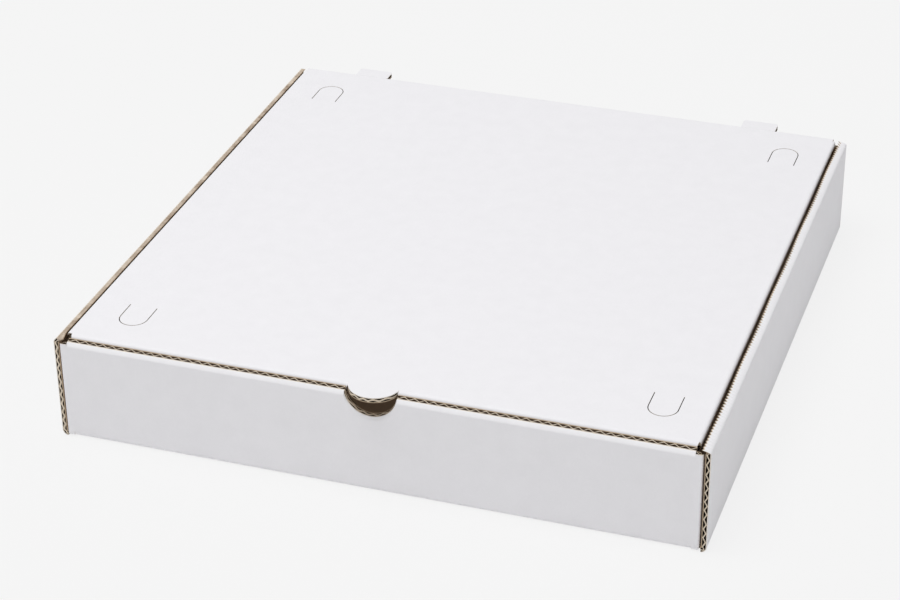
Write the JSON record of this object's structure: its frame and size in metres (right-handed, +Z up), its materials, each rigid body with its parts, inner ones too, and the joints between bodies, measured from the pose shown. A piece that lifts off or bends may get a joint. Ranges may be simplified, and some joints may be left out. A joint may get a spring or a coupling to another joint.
{
  "type": "pizza box",
  "caption": "Closed pizza box folded from thin white-lined fluted board: a shallow square tray with a thumb notch and a hinged tuck-in lid with a half-moon tab.",
  "frame": {"origin": "middle of the tray's underside, on the surface that the box stands on", "axes": "+Z up; +Y from the front wall with the thumb notch towards the lid's hinge; +X along the hinge"},
  "size_m": [0.21, 0.2188, 0.036],
  "materials": {
    "white_lined_board": "matte",
    "kraft_liner": "matte"
  },
  "bodies": {
    "tray": {"tray": "white_lined_board"},
    "lid": {"lid": "white_lined_board"}
  },
  "joints": [
    {"name": "lid_hinge", "type": "hinge", "parent": "tray", "child": "lid", "pos_m": [0, 0.10415, 0.03515], "axis": [-1, 0, 0], "range_deg": [0, 180]}
  ]
}
